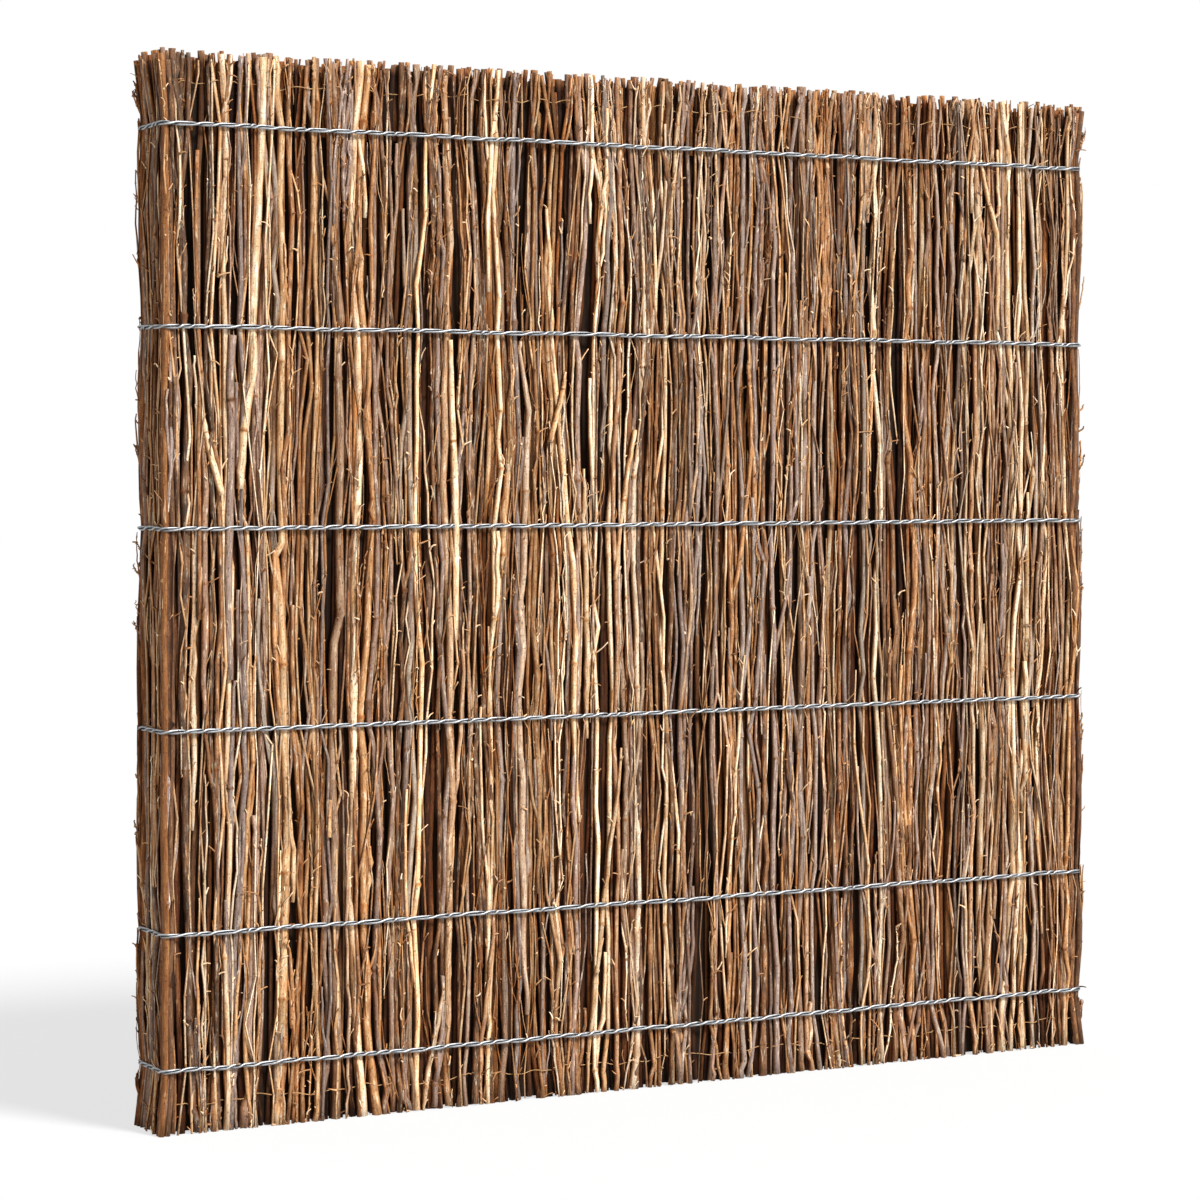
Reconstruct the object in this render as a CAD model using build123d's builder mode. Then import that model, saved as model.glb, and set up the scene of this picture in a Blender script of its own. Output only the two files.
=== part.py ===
# Free-standing brushwood fence panel.
#
# Handfuls of straight brushwood stand side by side and six bands of twisted
# galvanised wire squeeze them into one mat. Each band is two strands that run
# round the whole panel, one above the other. Above the top band and below the
# bottom band nothing holds the sticks, so their ends splay outwards.
#
# The origin is on the floor, under the middle of the panel. X runs along the
# panel, Y through its depth with the front at -Y, and Z is up. Millimetres.
from build123d import *
import os
from math import cos, radians, sqrt
from random import Random

# Panel
panel_width = 1860.0  # between the two side edges, where the bands squeeze them
panel_height = 1800.0  # floor to the tallest stick
panel_depth = 114.0  # front to back, where the bands squeeze the brush
bundle_width = 53.0  # one handful of brush, which is fitted to the panel's width

# Sticks
stick_spacing = 17.5  # from one stick to the next along a face, on average
stick_variety = 0.3  # how much thicker or thinner than average a stick may be
stick_overlap = 3.0  # how far neighbours press into each other
stick_wander = 1.5  # how far a stick strays sideways on its way up
corner_stick = 10.0  # across the flats of the eight-sided stick at each corner
handful_gap = 0.6  # between the sticks of two handfuls
top_raggedness = 16.0  # the shortest stick ends this far under the tallest
foot_raggedness = 7.0  # a short stick ends up to this far over the floor
short_stick_share = 0.1
packed_brush_drop = 27.0  # from the tallest stick to the packed brush inside
packed_raggedness = 10.0  # some handfuls are packed this much lower
end_splay = 5.0  # how far free ends lean out past the bands

# Bands
wire_diameter = 4.0  # across the corners of a six-sided strand
bottom_band_height = 107.0
second_band_height = 332.5
top_band_drop = 120.0  # from the tallest stick to the top band
upper_band_count = 5  # evenly spaced from the second band to the top one

# Broken sticks that lie over the front and end in a plain cut
broken_stick = 14.0  # across the corners
broken_sticks = [
    # Foot and head, each as distance from the left edge and height
    ((108.0, 1067.0), (67.0, 1190.0)),
    ((143.0, 1072.0), (172.0, 1190.0)),
]

# Worked out from the driving dimensions
bundle_count = round(panel_width / bundle_width)
slot_width = panel_width / bundle_count
top_band_height = panel_height - top_band_drop
upper_band_step = (top_band_height - second_band_height) / (upper_band_count - 1)
band_heights = [bottom_band_height] + [
    second_band_height + upper_band_step * step for step in range(upper_band_count)
]
squeezed_from = bottom_band_height - wire_diameter  # under both strands
squeezed_to = top_band_height + wire_diameter  # over both strands
splay_slope = end_splay / squeezed_from
hexagon_flat = cos(radians(30))  # flat distance over corner distance
strand_rise = wire_diameter / 2 * hexagon_flat  # from a band's middle to a strand's
thickest_radius = (stick_spacing * (1 + stick_variety) + stick_overlap) / 2
stick_seat = thickest_radius * hexagon_flat  # from a face to its sticks' middles


def splay_at(height):
    """How far the brush leans out at a height: nothing between the outer bands."""
    return splay_slope * max(0.0, squeezed_from - height, height - squeezed_to)


def prism(stations, radius, sides, rotation, major_radius=True):
    """One stick: the same polygon carried from each station to the next."""
    pieces = []
    for low, high in zip(stations, stations[1:]):
        rise = Vector(*high) - Vector(*low)
        with BuildSketch(Plane(origin=low)) as section:
            RegularPolygon(radius, sides, major_radius=major_radius, rotation=rotation)
        pieces.append(
            extrude(
                section.sketch,
                amount=rise.length,
                dir=rise.normalized(),
                mode=Mode.PRIVATE,
            )
        )
    return pieces


def stick_heights(random):
    """Foot, both ends of the squeezed length and top of one stick."""
    short = random.random() < short_stick_share
    foot = foot_raggedness * random.random() if short else 0.0
    top = panel_height - top_raggedness * random.random()
    return [foot, squeezed_from, squeezed_to, top]


def face_row(start, end, face, outward, random):
    """Sticks side by side along one face of the panel.

    start and end are where the row begins and ends along the face, face is how
    far the face stands from the origin, and outward is the way it looks.
    """
    count = max(1, round((end - start) / stick_spacing))
    shares = [1 + stick_variety * random.uniform(-1, 1) for _ in range(count)]
    scale = (end - start) / sum(shares)
    along_x = outward.X == 0
    pieces = []
    edge = start
    for share in shares:
        width = share * scale
        room = (end - start - handful_gap) / 2
        radius = min((width + stick_overlap) / 2, thickest_radius, room)
        low, high = start + radius + handful_gap / 2, end - radius - handful_gap / 2
        stations = []
        for height in stick_heights(random):
            stray = edge + width / 2 + stick_wander * random.uniform(-1, 1)
            along = max(min(stray, high), low)
            out = face - stick_seat + splay_at(height)
            if along_x:
                stations.append((along, outward.Y * out, height))
            else:
                stations.append((outward.X * out, along, height))
        pieces += prism(stations, radius, sides=6, rotation=0 if along_x else 30)
        edge += width
    return pieces


def corner_post(side, front):
    """The thick stick that a band bends round at a corner of the panel."""
    radius = corner_stick / 2
    stations = []
    for height in (0.0, squeezed_from, squeezed_to, panel_height):
        x = side * (panel_width / 2 - radius + splay_at(height))
        y = front * (panel_depth / 2 - radius + splay_at(height))
        stations.append((x, y, height))
    return prism(stations, radius, sides=8, rotation=22.5, major_radius=False)


def packed_outline(reach, packed_top):
    """Outline of the packed brush in a plane that holds Z, splayed at both ends."""
    right = [
        (reach + splay_at(height), height)
        for height in (0.0, squeezed_from, squeezed_to, packed_top)
    ]
    left = [(-across, height) for across, height in reversed(right)]
    return right + left


def packed_brush(left, right, packed_top, ends_panel):
    """The inside of a handful, where the sticks are too tight to see between."""
    across = packed_outline(panel_depth / 2 - stick_seat, packed_top)
    along = packed_outline(panel_width / 2 - stick_seat, packed_top)
    with BuildPart() as packed:
        with BuildSketch(Plane.YZ.offset(left)):
            with BuildLine():
                Polyline(*across, close=True)
            make_face()
        extrude(amount=right - left)
        if ends_panel:
            with BuildSketch(Plane.XZ.offset(-panel_depth)):
                with BuildLine():
                    Polyline(*along, close=True)
                make_face()
            extrude(amount=2 * panel_depth, mode=Mode.INTERSECT)
    return packed.part


def broken_pieces(left, right):
    """The broken sticks whose middle is in this handful."""
    radius = broken_stick / 2
    pieces = []
    for foot, head in broken_sticks:
        (foot_x, foot_z), (head_x, head_z) = foot, head
        foot_x -= panel_width / 2
        head_x -= panel_width / 2
        if left < (foot_x + head_x) / 2 < right:
            low, high = left + radius + handful_gap, right - radius - handful_gap
            foot_y, head_y = -panel_depth / 2 - radius / 3, -panel_depth / 2 + radius
            stations = [
                (min(max(foot_x, low), high), foot_y, foot_z),
                (min(max(head_x, low), high), head_y, head_z),
            ]
            pieces += prism(stations, radius, sides=6, rotation=0)
    return pieces


def bundle(index):
    """One handful of brush, from its left neighbour to its right one."""
    random = Random(index)
    left = -panel_width / 2 + index * slot_width
    right = left + slot_width
    first, last = index == 0, index == bundle_count - 1
    post_room = corner_stick - stick_overlap
    row_left = left + post_room if first else left
    row_right = right - post_room if last else right

    packed_left = left - end_splay if first else left
    packed_right = right + end_splay if last else right
    packed_top = panel_height - packed_brush_drop - packed_raggedness * random.random()
    pieces = [packed_brush(packed_left, packed_right, packed_top, first or last)]
    for front in (-1, 1):
        outward = Vector(0, front, 0)
        pieces += face_row(row_left, row_right, panel_depth / 2, outward, random)
    if first or last:
        side = -1 if first else 1
        row_end = panel_depth / 2 - post_room
        outward = Vector(side, 0, 0)
        pieces += face_row(-row_end, row_end, panel_width / 2, outward, random)
        for front in (-1, 1):
            pieces += corner_post(side, front)
    pieces += broken_pieces(left, right)

    with BuildPart() as handful:
        add(pieces)
    handful.part.label = f"bundle_{index + 1:02d}"
    return handful.part


def band_route(height):
    """Closed route of a strand's middle, bent round the corner sticks."""
    half_wire = wire_diameter / 2
    x, y = panel_width / 2 + half_wire, panel_depth / 2 + half_wire
    turn = (corner_stick / 2 + half_wire) * (2 - sqrt(2))
    return [
        (0, -y, height),
        (x - turn, -y, height),
        (x, -y + turn, height),
        (x, y - turn, height),
        (x - turn, y, height),
        (-x + turn, y, height),
        (-x, y - turn, height),
        (-x, -y + turn, height),
        (-x + turn, -y, height),
    ]


def strand(name, height):
    """One wire of a band, with a flat above and a flat below."""
    route_points = band_route(height)
    with BuildPart() as wire:
        with BuildLine():
            route = Polyline(*route_points, close=True)
        with BuildSketch(Plane(origin=route_points[0], z_dir=(1, 0, 0))):
            RegularPolygon(wire_diameter / 2, 6, rotation=30)
        sweep(path=route, transition=Transition.RIGHT)
    wire.part.label = name
    return wire.part


sub_parts = [bundle(index) for index in range(bundle_count)]
for number, height in enumerate(band_heights, start=1):
    sub_parts.append(strand(f"band_{number}_upper_strand", height + strand_rise))
    sub_parts.append(strand(f"band_{number}_lower_strand", height - strand_rise))

os.makedirs("parts", exist_ok=True)
for sub_part in sub_parts:
    export_step(sub_part, f"parts/{sub_part.label}.step")
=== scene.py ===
import math
import bpy
import numpy as np
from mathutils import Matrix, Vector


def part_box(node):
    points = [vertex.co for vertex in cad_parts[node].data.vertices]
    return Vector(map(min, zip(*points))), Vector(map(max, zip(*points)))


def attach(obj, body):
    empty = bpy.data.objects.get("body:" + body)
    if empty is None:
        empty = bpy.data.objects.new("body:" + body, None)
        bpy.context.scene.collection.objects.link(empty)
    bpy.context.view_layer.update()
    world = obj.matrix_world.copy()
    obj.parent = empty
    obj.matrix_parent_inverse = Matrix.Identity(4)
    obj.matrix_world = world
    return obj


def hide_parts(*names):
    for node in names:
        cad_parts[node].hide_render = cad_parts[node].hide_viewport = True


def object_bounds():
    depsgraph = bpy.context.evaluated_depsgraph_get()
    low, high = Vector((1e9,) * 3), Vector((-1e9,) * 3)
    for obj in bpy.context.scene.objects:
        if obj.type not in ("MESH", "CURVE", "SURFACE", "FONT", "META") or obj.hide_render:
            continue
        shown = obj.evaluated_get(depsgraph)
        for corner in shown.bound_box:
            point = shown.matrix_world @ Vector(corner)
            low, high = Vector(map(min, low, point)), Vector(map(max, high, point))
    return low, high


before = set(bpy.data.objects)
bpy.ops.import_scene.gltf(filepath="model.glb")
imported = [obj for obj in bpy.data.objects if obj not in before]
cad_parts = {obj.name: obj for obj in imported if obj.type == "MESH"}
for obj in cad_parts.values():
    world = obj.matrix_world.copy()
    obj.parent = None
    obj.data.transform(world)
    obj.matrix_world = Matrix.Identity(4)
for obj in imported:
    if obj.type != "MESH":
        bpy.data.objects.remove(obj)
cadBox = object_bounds()
rng = np.random.default_rng(1871)
print("frame loaded:", len(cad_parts), "nodes")

# Metres throughout. The panel stands on z = 0 with its front face towards -Y.
wireSize = 0.004
bandHeights = [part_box(f"band_{n}_upper_strand")[0][2] for n in range(1, 7)]
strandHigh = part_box("band_1_upper_strand")[1]
halfWidth = strandHigh[0] - wireSize
halfDepth = strandHigh[1] - wireSize
panelHeight = cadBox[1][2]
handfulNames = sorted(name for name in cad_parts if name.startswith("bundle_"))
slotWidth = 2 * halfWidth / len(handfulNames)
endSplay = 0.005
splaySlope = endSplay / bandHeights[0]
cornerRadius = 0.005

# Where each face starts, which way it runs and which way it looks. Free ends lean out of a face
# by outSplay times the splay, and past its two edges by edgeSplay times the splay.
faces = {
    "front": {"origin": (0, -halfDepth), "along": (1, 0), "out": (0, -1), "half": halfWidth},
    "back": {"origin": (0, halfDepth), "along": (-1, 0), "out": (0, 1), "half": halfWidth},
    "left": {"origin": (-halfWidth, 0), "along": (0, -1), "out": (-1, 0), "half": halfDepth},
    "right": {"origin": (halfWidth, 0), "along": (0, 1), "out": (1, 0), "half": halfDepth},
}
for face in ("front", "back"):
    faces[face].update({"outSplay": 1.0, "edgeSplay": 2.4})
for face in ("left", "right"):
    faces[face].update({"outSplay": 2.4, "edgeSplay": 1.0})

neighbourSway = 0.0050  # how far neighbours lean together
mostBow = 0.010  # how far the brush bows out of a face midway between two bands
topEdge = {"over": 0.006, "ragged": 0.022, "thin": 0.006, "thinDrop": 0.018}

# Sticks by layer, from the outermost in. Sizes are diameters, with the share of each.
outerSticks = {
    "spacing": 0.0142,
    "shares": (0.13, 0.47, 0.40),
    "sizes": ((0.0125, 0.0165), (0.0092, 0.0125), (0.0058, 0.0092)),
    "depth": (0.0, 0.0035),
    "bow": (-0.001, 0.006),
    "wander": 0.0046,
    "lean": 0.007,
    "weave": 0.0016,
    "bend": 0.024,
    "knots": 11,
    "roundKnots": True,
    "mostSides": 9,
    "shortShare": 0.15,
    "margin": 0.005,
}
middleSticks = {
    "spacing": 0.0122,
    "shares": (0.20, 0.50, 0.30),
    "sizes": ((0.0125, 0.0160), (0.0090, 0.0125), (0.0060, 0.0090)),
    "depth": (0.007, 0.012),
    "bow": (-0.001, 0.005),
    "wander": 0.0028,
    "lean": 0.003,
    "weave": 0.0020,
    "bend": 0.012,
    "knots": 7,
    "roundKnots": False,
    "mostSides": 5,
    "shortShare": 0.0,
    "margin": 0.009,
}
gapSticks = {
    "spacing": 0.0105,
    "shares": (0.25, 0.45, 0.30),
    "sizes": ((0.0060, 0.0080), (0.0040, 0.0060), (0.0025, 0.0040)),
    "depth": (0.002, 0.006),
    "bow": (0.0, 0.005),
    "wander": 0.0060,
    "lean": 0.018,
    "weave": 0.0020,
    "bend": 0.026,
    "knots": 8,
    "roundKnots": False,
    "mostSides": 5,
    "shortShare": 0.85,
    "margin": 0.006,
}
thinSticks = {
    "spacing": 0.0098,
    "shares": (0.30, 0.40, 0.30),
    "sizes": ((0.0046, 0.0060), (0.0034, 0.0046), (0.0024, 0.0034)),
    "depth": (-0.001, 0.003),
    "bow": (0.001, 0.007),
    "wander": 0.0075,
    "lean": 0.018,
    "weave": 0.0018,
    "bend": 0.030,
    "knots": 8,
    "roundKnots": False,
    "mostSides": 6,
    "shortShare": 0.8,
    "margin": 0.004,
}
crossSticks = {
    "spacing": 0.055,
    "shares": (0.15, 0.50, 0.35),
    "sizes": ((0.0105, 0.0135), (0.0070, 0.0105), (0.0045, 0.0070)),
    "depth": (-0.001, 0.002),
    "bow": (0.004, 0.009),
    "wander": 0.0070,
    "lean": 0.055,
    "weave": 0.001,
    "bend": 0.022,
    "knots": 7,
    "roundKnots": True,
    "mostSides": 9,
    "shortShare": 1.0,
    "margin": 0.004,
}


def splayAt(z):
    # nothing between the outer bands, then growing in line towards the free ends
    return splaySlope * np.maximum(0, np.maximum(bandHeights[0] - z, z - bandHeights[-1]))


def bowAt(z):
    # 0 at each band and 1 midway between two: the positive half of a sine, flattened
    bow = np.zeros_like(z)
    for low, high in zip(bandHeights, bandHeights[1:]):
        share = np.clip((z - low) / (high - low), 0, 1)
        bow = np.maximum(bow, np.sin(np.pi * share))
    return np.maximum(bow, 0) ** 0.6


def waves(z, size):
    # sum of three sine waves of z, each with its own random length, phase and height
    total = np.zeros_like(z)
    count = len(z)
    for short, long, share in ((1.0, 2.2, 0.80), (0.36, 0.8, 0.50), (0.13, 0.26, 0.20)):
        length = rng.uniform(short, long, (count, 1))
        phase = rng.uniform(0, 2 * np.pi, (count, 1))
        total += share * rng.normal(0, 1, (count, 1)) * np.sin(2 * np.pi * z / length + phase)
    return size * total


# Height and place along a face over which neighbours lean together, five waves for each face
swayWaves = {
    face: (rng.uniform(0.5, 1.8, 5), rng.uniform(0.12, 0.45, 5), rng.uniform(0, 2 * np.pi, 5))
    for face in faces
}


def swayAt(face, s, z):
    # mean of the face's waves, each a sine of z over its length plus s over its width
    total = np.zeros_like(z)
    for length, width, phase in zip(*swayWaves[face]):
        total += np.sin(2 * np.pi * (z / length + s / width) + phase)
    return total / math.sqrt(5)


def stationsOf(bottom, top, knotCount, roundKnots, knotHalf=0.005, tipLength=0.022):
    # ring heights: both ends, one midway between knots, and one or three at each knot; with
    # them come the kinks, the swellings, and which rings are knots
    count = len(bottom)
    cells = (np.arange(knotCount) + rng.uniform(0.12, 0.88, (count, knotCount))) / knotCount
    knots = bottom[:, None] + cells * (top - bottom)[:, None]
    ends = np.concatenate([bottom[:, None], knots, top[:, None]], axis=1)
    middles = (ends[:, 1:] + ends[:, :-1]) / 2
    middles[:, -1] = np.maximum(middles[:, -1], top - tipLength)
    before, after = knots - middles[:, :-1], middles[:, 1:] - knots
    kinks = rng.normal(0, 1, (count, knotCount, 2))
    slack = rng.normal(0, 0.35, (count, knotCount + 1, 2))
    swell = rng.choice([0.04, 0.14, 0.32], (count, knotCount), p=[0.4, 0.4, 0.2])
    flat = np.zeros((count, knotCount))
    if roundKnots:
        reach = np.minimum(knotHalf, 0.8 * np.minimum(before, after))
        near = (reach / np.maximum(before, 1e-4))[:, :, None]
        far = (reach / np.maximum(after, 1e-4))[:, :, None]
        kinkBefore = kinks + (slack[:, :-1] - kinks) * near
        kinkAfter = kinks + (slack[:, 1:] - kinks) * far
        blocks = [middles[:, :-1], knots - reach, knots, knots + reach]
        kinkBlocks = [slack[:, :-1], kinkBefore, kinks, kinkAfter]
        bumpBlocks = [flat, flat, swell, flat]
    else:
        blocks = [middles[:, :-1], knots]
        kinkBlocks = [slack[:, :-1], kinks]
        bumpBlocks = [flat, swell * 0.5]
    step = len(blocks)
    heights = np.stack(blocks, axis=2).reshape(count, -1)
    heights = np.concatenate([bottom[:, None], heights, middles[:, -1:], top[:, None]], axis=1)
    still = np.zeros((count, 1, 2))
    shifts = np.stack(kinkBlocks, axis=2).reshape(count, -1, 2)
    shifts = np.concatenate([still, shifts, slack[:, -1:], still], axis=1)
    bumps = np.stack(bumpBlocks, axis=2).reshape(count, -1)
    bumps = np.concatenate([np.zeros((count, 1)), bumps, np.zeros((count, 2))], axis=1)
    knotRings = (3 if roundKnots else 2) + step * np.arange(knotCount)
    return heights, shifts, bumps, knotRings


def withBandRings(heights):
    # moves the nearest inner ring of each stick onto each band that the stick passes
    lowest, highest = heights.min(axis=1), heights.max(axis=1)
    for band in bandHeights:
        ring = np.abs(heights[:, 1:-1] - band).argmin(axis=1) + 1
        passes = np.flatnonzero((lowest < band - 0.004) & (highest > band + 0.004))
        heights[passes, ring[passes]] = band
    return heights


def sticksOn(face, recipe):
    # sticks on a face: s along it, out from it and z up, all as arrays of sticks by rings
    half = faces[face]["half"] - recipe["margin"]
    count = max(3, int(2 * half / recipe["spacing"]))
    cell = 2 * half / count
    middle = -half + cell * (np.arange(count) + 0.5 + rng.uniform(-0.45, 0.45, count))
    kind = rng.choice(len(recipe["shares"]), count, p=recipe["shares"])
    smallest = np.array([size[0] for size in recipe["sizes"]])[kind]
    largest = np.array([size[1] for size in recipe["sizes"]])[kind]
    width = rng.uniform(smallest, largest)
    # Most sticks run from the floor to the top edge, short ones start or stop on the way.
    bottom = rng.uniform(0, 0.004, count) * (rng.random(count) < 0.5)
    top = panelHeight + topEdge["over"] - rng.beta(1.2, 2.4, count) * topEdge["ragged"]
    top -= rng.uniform(0, topEdge["thinDrop"], count) * (width < topEdge["thin"])
    short = rng.random(count) < recipe["shortShare"]
    span = rng.uniform(0.30, 1.25, count)
    start = rng.uniform(-0.25, panelHeight - 0.2, count)
    finish = np.where(start + span > panelHeight - 0.06, top, start + span)
    start = np.where(start < 0.05, bottom, start)
    bottom = np.where(short, start, bottom)
    top = np.where(short, finish, top)
    heights, shifts, bumps, knotRings = stationsOf(
        bottom, top, recipe["knots"], recipe["roundKnots"]
    )
    heights = withBandRings(heights)
    # Radius: tapered upwards, swollen at the foot and the knots, thin at a short stick's tips.
    share = (heights - bottom[:, None]) / (top - bottom)[:, None]
    taper = rng.normal(0, 0.18, (count, 1)) + 0.10
    foot = 0.30 * rng.random((count, 1)) * np.exp(-heights / 0.04)
    tip = 1 - 0.5 * short[:, None] * np.clip((np.abs(share - 0.5) - 0.3) / 0.2, 0, 1)
    plain = width[:, None] / 2 * np.clip(1 + taper * (0.5 - share) + foot, 0.6, 1.3) * tip
    radii = plain * (1 + bumps + rng.normal(0, 0.05, heights.shape))
    # Along the face: waves, kinks at the knots, a lean, and what the neighbours share.
    kink = recipe["bend"] * ((top - bottom) / recipe["knots"])[:, None]
    lean = rng.normal(0, recipe["lean"], (count, 1)) * (heights - heights.mean(axis=1)[:, None])
    s = middle[:, None] + waves(heights, recipe["wander"]) + kink * shifts[:, :, 0]
    s += lean + neighbourSway * swayAt(face, middle[:, None], heights)
    # Out of the face: bowed between the bands, splayed past them, and never in front of them.
    bow = rng.uniform(*recipe["bow"], (count, 1)) * bowAt(heights)
    free = 0.25 + 0.75 * bowAt(heights)
    loose = (kink * 0.7 * shifts[:, :, 1] + waves(heights, recipe["weave"])) * free
    depth = rng.uniform(*recipe["depth"], (count, 1))
    splay = splayAt(heights)
    outSplay, edgeSplay = faces[face]["outSplay"], faces[face]["edgeSplay"]
    out = outSplay * splay * rng.uniform(0.75, 1.15, (count, 1)) + bow + loose
    most = outSplay * splay + 0.0008 + mostBow * bowAt(heights)
    out = np.minimum(out, most) - np.maximum(depth, 0) - plain - 0.0004
    # Free ends also spread sideways, more so near the face's two edges.
    nearEdge = np.clip((np.abs(s) - faces[face]["half"]) / 0.12 + 1, 0, 1) * np.sign(s)
    s += (edgeSplay - 1) * splay * nearEdge
    s += splay * rng.normal(0, 1.5, (count, 2))[np.arange(count)[:, None], (heights > 1) * 1]
    limit = faces[face]["half"] - plain + edgeSplay * splay + 0.006 * bowAt(heights)
    s = np.clip(s, -limit, limit)
    return {
        "face": face,
        "paths": np.stack([s, out, heights], axis=2),
        "radii": radii,
        "knotRings": knotRings,
        "stain": 1 - 1.1 * bumps,  # darker at each knot
        "mostSides": recipe["mostSides"],
        "inOpen": False,
    }


def toWorld(face, paths):
    # world = the face's origin + s along it + out from it, and z as it is
    place = faces[face]
    flat = (
        np.array(place["origin"])
        + paths[..., :1] * np.array(place["along"])
        + paths[..., 1:2] * np.array(place["out"])
    )
    return np.concatenate([flat, paths[..., 2:3]], axis=-1)


def unit(vectors):
    # each vector over its own length
    return vectors / np.maximum(np.linalg.norm(vectors, axis=-1, keepdims=True), 1e-9)


def paintedShadeOn(shade, angle, heights, closed):
    # painted shade: the ring's own painted shade, deepened round the sides, where cos a falls off,
    # and cleared to a painted light near the free tops, where light gets in
    if shade.ndim == 2:
        shade = shade[:, :, None] * (0.20 + 0.80 * np.clip((np.cos(angle) + 0.05) / 0.85, 0, 1))
    if not closed:
        bare = np.clip((heights[:, :, None] - panelHeight) / 0.02 + 1.1, 0, 1)
        shade = np.maximum(shade, 0.72 * bare)
    return np.broadcast_to(shade, heights.shape + angle.shape)


def grainMap(paths, radii, sides, tone, closed):
    # u runs round each stick and v along it, in metres, moved by the stick's own two offsets
    count = len(paths)
    step = np.linalg.norm(np.diff(paths, axis=1), axis=2)
    run = np.concatenate([np.zeros((count, 1)), np.cumsum(step, axis=1)], axis=1)
    ahead = run + step.mean() if closed else run[:, 1:]
    segments = ahead.shape[1]
    girth = 2 * np.pi * radii.mean(axis=1)[:, None, None]
    u = np.broadcast_to(np.arange(sides) / sides, (count, segments, sides)) * girth
    uNext = np.broadcast_to((np.arange(sides) + 1) / sides, (count, segments, sides)) * girth
    v = np.broadcast_to(run[:, :segments, None], u.shape)
    vNext = np.broadcast_to(ahead[:, :, None], u.shape)
    corners = ((u, v), (uNext, v), (uNext, vNext), (u, vNext))
    uv = np.stack([np.stack(corner, axis=-1) for corner in corners], axis=3)
    return (uv + 7 * tone[:, None, None, None, 3:5]).reshape(-1, 2)


def tubes(paths, radii, sides, reference, tone, shade, closed=False, oval=None):
    # ring point = path point + radius * (cos a * side + sin a * across), a evenly round the tube
    count, rings = radii.shape
    if closed:
        tangent = unit(np.roll(paths, -1, axis=1) - np.roll(paths, 1, axis=1))
    else:
        tangent = unit(np.gradient(paths, axis=1))
    across = unit(np.cross(tangent, np.asarray(reference, float)))
    side = np.cross(across, tangent)
    angle = np.pi + 2 * np.pi * np.arange(sides) / sides
    stainAndShade = paintedShadeOn(shade, angle, paths[:, :, 2], closed)
    profile = np.ones((count, 1, sides))
    if oval is not None:
        profile = 1 + oval[:, None, None] * np.cos(2 * angle + 9 * tone[:, None, :1])
    spread = radii[:, :, None] * profile
    points = (
        paths[:, :, None, :]
        + (spread * np.cos(angle))[..., None] * side[:, :, None, :]
        + (spread * np.sin(angle))[..., None] * across[:, :, None, :]
    )
    points[..., 2] = np.maximum(points[..., 2], 0)
    index = np.arange(count * rings * sides).reshape(count, rings, sides)
    following = np.roll(index, -1, axis=2)
    if closed:
        low = (index, following, np.roll(following, -1, axis=1), np.roll(index, -1, axis=1))
    else:
        low = (index[:, :-1], following[:, :-1], following[:, 1:], index[:, 1:])
    quads = np.stack(low, axis=-1).reshape(-1, 4)
    loops = [quads.reshape(-1)]
    sizes = [np.full(len(quads), 4)]
    marks = [np.zeros(len(quads), int)]
    maps = [grainMap(paths, radii, sides, tone, closed)]
    if not closed:
        for ring, order in ((0, slice(None, None, -1)), (rings - 1, slice(None))):
            loops.append(index[:, ring, order].reshape(-1))
            sizes.append(np.full(count, sides))
            marks.append(np.ones(count, int))
            rim = np.stack([np.cos(angle), np.sin(angle)], axis=-1)[order]
            maps.append((rim[None] * radii[:, ring, None, None]).reshape(-1, 2))
    return {
        "points": points.reshape(-1, 3),
        "loops": np.concatenate(loops),
        "sizes": np.concatenate(sizes),
        "marks": np.concatenate(marks),
        "maps": np.concatenate(maps),
        # three tone channels, then painted shade with the knot stains in it as the fourth
        "tone": np.concatenate(
            [np.repeat(tone[:, :3], rings * sides, axis=0), stainAndShade.reshape(-1, 1)], axis=1
        ),
    }


def makePiece(name, parts, materials, nodes):
    # joins the parts into one mesh that rides the panel and stands for its nodes
    starts = np.cumsum([0] + [len(part["points"]) for part in parts[:-1]])
    loops = np.concatenate([part["loops"] + start for part, start in zip(parts, starts)])
    points, sizes, marks, maps, tone = [
        np.concatenate([part[key] for part in parts])
        for key in ("points", "sizes", "marks", "maps", "tone")
    ]
    mesh = bpy.data.meshes.new(name)
    mesh.vertices.add(len(points))
    mesh.vertices.foreach_set("co", points.astype(np.float32).ravel())
    mesh.loops.add(len(loops))
    mesh.loops.foreach_set("vertex_index", loops.astype(np.int32))
    mesh.polygons.add(len(sizes))
    mesh.polygons.foreach_set("loop_start", (np.cumsum(sizes) - sizes).astype(np.int32))
    mesh.update(calc_edges=True)
    mesh.shade_smooth()
    mesh.polygons.foreach_set("material_index", marks.astype(np.int32))
    flat = mesh.attributes.new("sharp_face", "BOOLEAN", "FACE")
    flat.data.foreach_set("value", marks > 0)
    layer = mesh.uv_layers.new(name="grain")
    layer.uv.foreach_set("vector", maps.astype(np.float32).ravel())
    # the fourth channel of this colour is painted shade, with the knot stains multiplied in
    color = mesh.color_attributes.new("stickTone", "FLOAT_COLOR", "POINT")
    color.data.foreach_set("color", tone.astype(np.float32).ravel())
    mesh.validate()
    piece = bpy.data.objects.new(name, mesh)
    bpy.context.scene.collection.objects.link(piece)
    for material in materials:
        mesh.materials.append(material)
    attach(piece, "root")
    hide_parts(*nodes)
    return int((sizes - 2).sum())


def tonesFor(count, low=0.0, high=1.0, weather=(0.8, 1.25)):
    # palette place, weathering, brightness, and two offsets into the grain
    return np.stack(
        [
            rng.uniform(low, high, count),
            rng.beta(*weather, count),
            rng.normal(0.5, 0.22, count).clip(0, 1),
            rng.random(count),
            rng.random(count),
        ],
        axis=1,
    )


# Materials

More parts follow.
